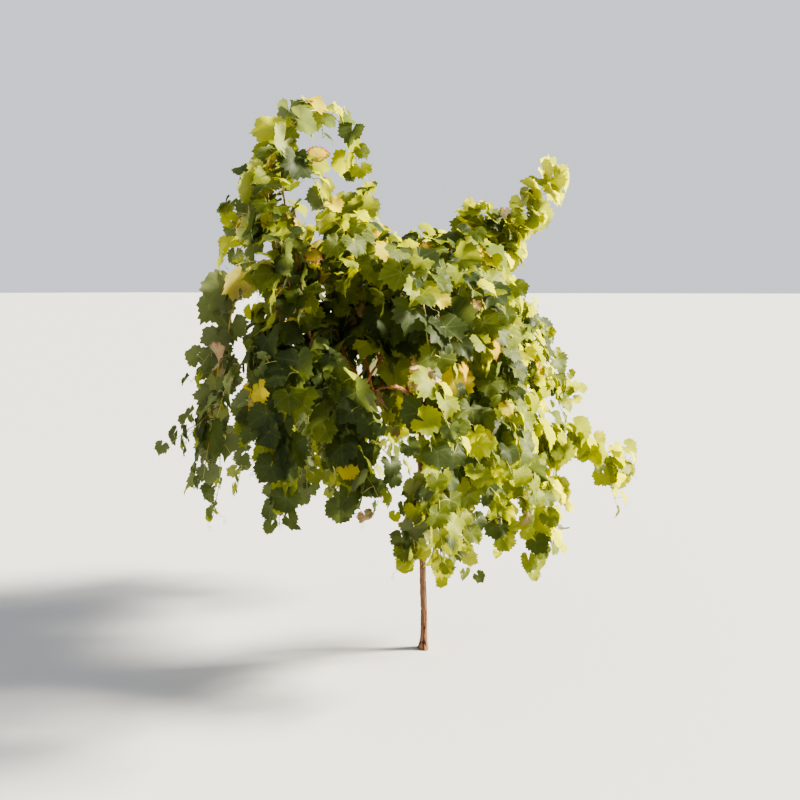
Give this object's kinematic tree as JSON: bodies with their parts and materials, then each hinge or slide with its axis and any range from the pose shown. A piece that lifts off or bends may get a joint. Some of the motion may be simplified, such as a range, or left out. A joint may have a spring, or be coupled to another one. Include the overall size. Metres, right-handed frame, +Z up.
{
  "type": "grapevine",
  "caption": "Young grapevine from a trellised row: slender leaning trunk, arms along the row, and a sprawling crown of long leafy shoots that climb, arch over and hang down.",
  "frame": {"origin": "centre of the flat cut of the trunk at ground level", "axes": "+Z up; +X along the row, away from the place where the picture was taken; -Y towards the open alley beside the row"},
  "size_m": [2.3718, 1.6322, 2.2873],
  "materials": {
    "bark": "stringy, matt",
    "cane": "smooth, matt",
    "foliage": "thin leaves, soft sheen"
  },
  "bodies": {
    "root": {"trunk": "bark", "left_arm": "bark", "right_arm": "bark", "centre_back_cane": "cane", "centre_front_cane": "cane", "centre_top_cane": "cane", "left_arch_cane": "cane", "left_back_cane": "cane", "left_front_cane": "cane", "left_inner_back_cane": "cane", "left_inner_front_cane": "cane", "left_inner_top_cane": "cane", "left_top_cane": "cane", "right_back_cane": "cane", "right_drop_cane": "cane", "right_front_cane": "cane", "right_inner_back_cane": "cane", "right_inner_front_cane": "cane", "right_outer_top_cane": "cane", "right_rising_cane": "cane", "right_top_cane": "cane", "trunk_spray_cane": "cane", "centre_back": "foliage", "centre_front": "foliage", "centre_top": "foliage", "left_arch": "foliage", "left_back": "foliage", "left_end": "foliage", "left_front": "foliage", "left_inner_back": "foliage", "left_inner_front": "foliage", "left_inner_top": "foliage", "left_top": "foliage", "right_back": "foliage", "right_drop": "foliage", "right_end": "foliage", "right_front": "foliage", "right_inner_back": "foliage", "right_inner_front": "foliage", "right_outer_top": "foliage", "right_rising": "foliage", "right_top": "foliage", "trunk_spray": "foliage"}
  },
  "joints": []
}
